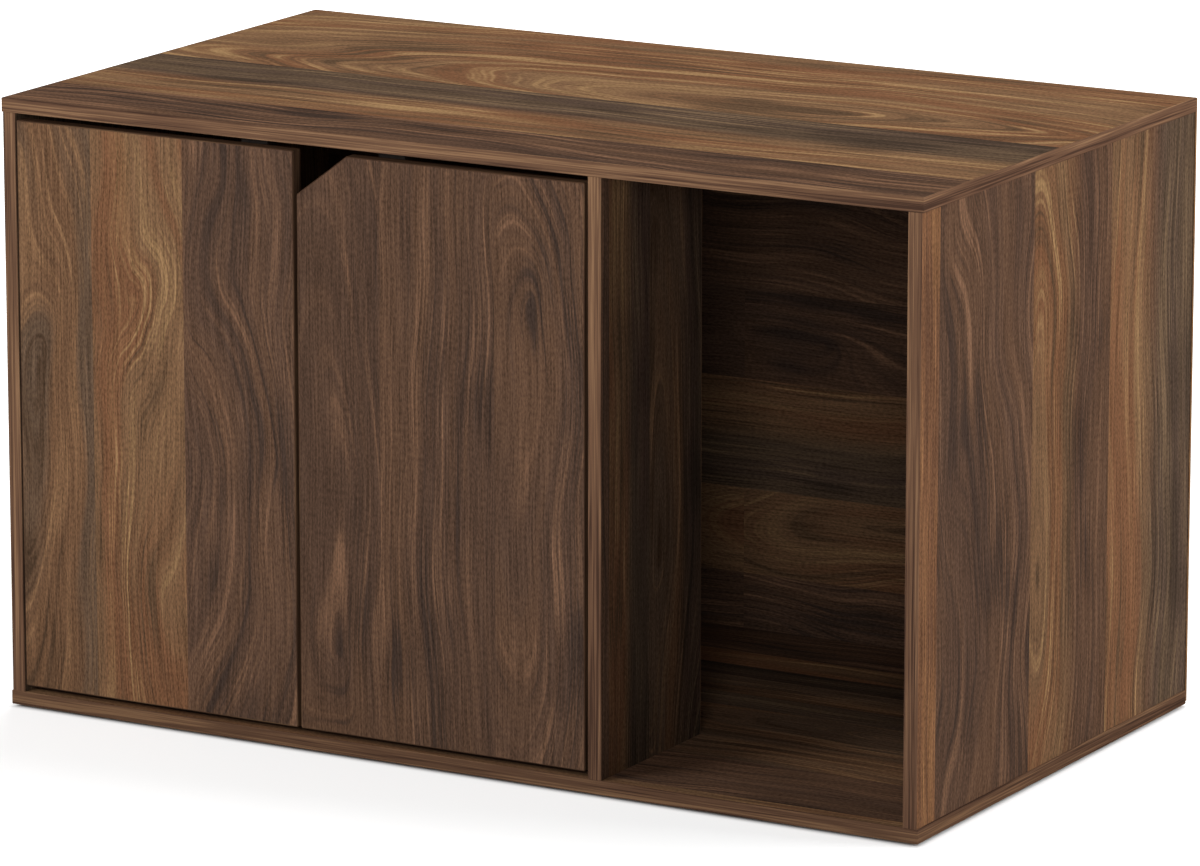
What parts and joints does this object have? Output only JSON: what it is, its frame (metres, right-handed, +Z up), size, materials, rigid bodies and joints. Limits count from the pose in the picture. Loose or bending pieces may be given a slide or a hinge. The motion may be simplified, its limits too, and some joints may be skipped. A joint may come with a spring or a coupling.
{
  "type": "cat litter box cabinet",
  "caption": "Low wood-look cabinet that hides a cat litter tray behind inset doors, with an open bay and a passage round a short divider as the way in.",
  "frame": {"origin": "middle of the cabinet's footprint, at floor level", "axes": "+X along the cabinet's width, to the right seen from the front; -Y towards the doors; +Z up"},
  "size_m": [0.9, 0.5172, 0.5465],
  "materials": {
    "walnut_laminate": "satin printed walnut laminate with a fine grain texture",
    "edge_band": "satin printed edge band, a little lighter than the boards",
    "back_board": "thin hardboard, printed walnut inside, bare brown outside",
    "hinge_steel": "nickel-plated pressed steel",
    "die_cast_zinc": "bare die-cast zinc, matte",
    "plated_steel": "zinc-plated steel",
    "beech": "raw fluted beech dowel",
    "glide_plastic": "dark matte plastic",
    "catch_plastic": "dark brown matte plastic",
    "ferrite": "dark grey ferrite magnet",
    "catch_steel": "zinc-plated sheet steel"
  },
  "bodies": {
    "case": {"back_panel": "back_board", "back_panel_nails": "plated_steel", "bottom_cam_bolts": "plated_steel", "bottom_cam_locks": "die_cast_zinc", "bottom_dowels": "beech", "bottom_edge_band": "edge_band", "bottom_panel": "walnut_laminate", "catch_screws": "plated_steel", "divider_edge_bands": "edge_band", "divider_panel": "walnut_laminate", "floor_glides": "glide_plastic", "glide_nails": "plated_steel", "hinge_adjusting_screws": "plated_steel", "hinge_clamp_screws": "plated_steel", "hinge_plate_screws": "plated_steel", "left_catch_housing": "catch_plastic", "left_catch_magnet": "ferrite", "left_catch_poles": "catch_steel", "left_lower_hinge_arm": "hinge_steel", "left_lower_hinge_plate": "die_cast_zinc", "left_side_edge_band": "edge_band", "left_side_panel": "walnut_laminate", "left_upper_hinge_arm": "hinge_steel", "left_upper_hinge_plate": "die_cast_zinc", "right_catch_housing": "catch_plastic", "right_catch_magnet": "ferrite", "right_catch_poles": "catch_steel", "right_lower_hinge_arm": "hinge_steel", "right_lower_hinge_plate": "die_cast_zinc", "right_side_edge_band": "edge_band", "right_side_panel": "walnut_laminate", "right_upper_hinge_arm": "hinge_steel", "right_upper_hinge_plate": "die_cast_zinc", "top_cam_bolts": "plated_steel", "top_cam_locks": "die_cast_zinc", "top_dowels": "beech", "top_edge_band": "edge_band", "top_panel": "walnut_laminate"},
    "left_door": {"left_cup_screws": "plated_steel", "left_door": "walnut_laminate", "left_door_edge_band": "edge_band", "left_lower_hinge_cup": "hinge_steel", "left_lower_hinge_pin": "plated_steel", "left_strike_plate": "catch_steel", "left_strike_screw": "plated_steel", "left_upper_hinge_cup": "hinge_steel", "left_upper_hinge_pin": "plated_steel"},
    "right_door": {"right_cup_screws": "plated_steel", "right_door": "walnut_laminate", "right_door_edge_band": "edge_band", "right_lower_hinge_cup": "hinge_steel", "right_lower_hinge_pin": "plated_steel", "right_strike_plate": "catch_steel", "right_strike_screw": "plated_steel", "right_upper_hinge_cup": "hinge_steel", "right_upper_hinge_pin": "plated_steel"}
  },
  "joints": [
    {"name": "left_door_hinge", "type": "hinge", "parent": "case", "child": "left_door", "pos_m": [-0.4225, -0.2526, 0.2746], "axis": [0, 0, -1], "range_deg": [0, 95]},
    {"name": "right_door_hinge", "type": "hinge", "parent": "case", "child": "right_door", "pos_m": [0.1215, -0.2526, 0.2746], "axis": [0, 0, 1], "range_deg": [0, 95]}
  ]
}
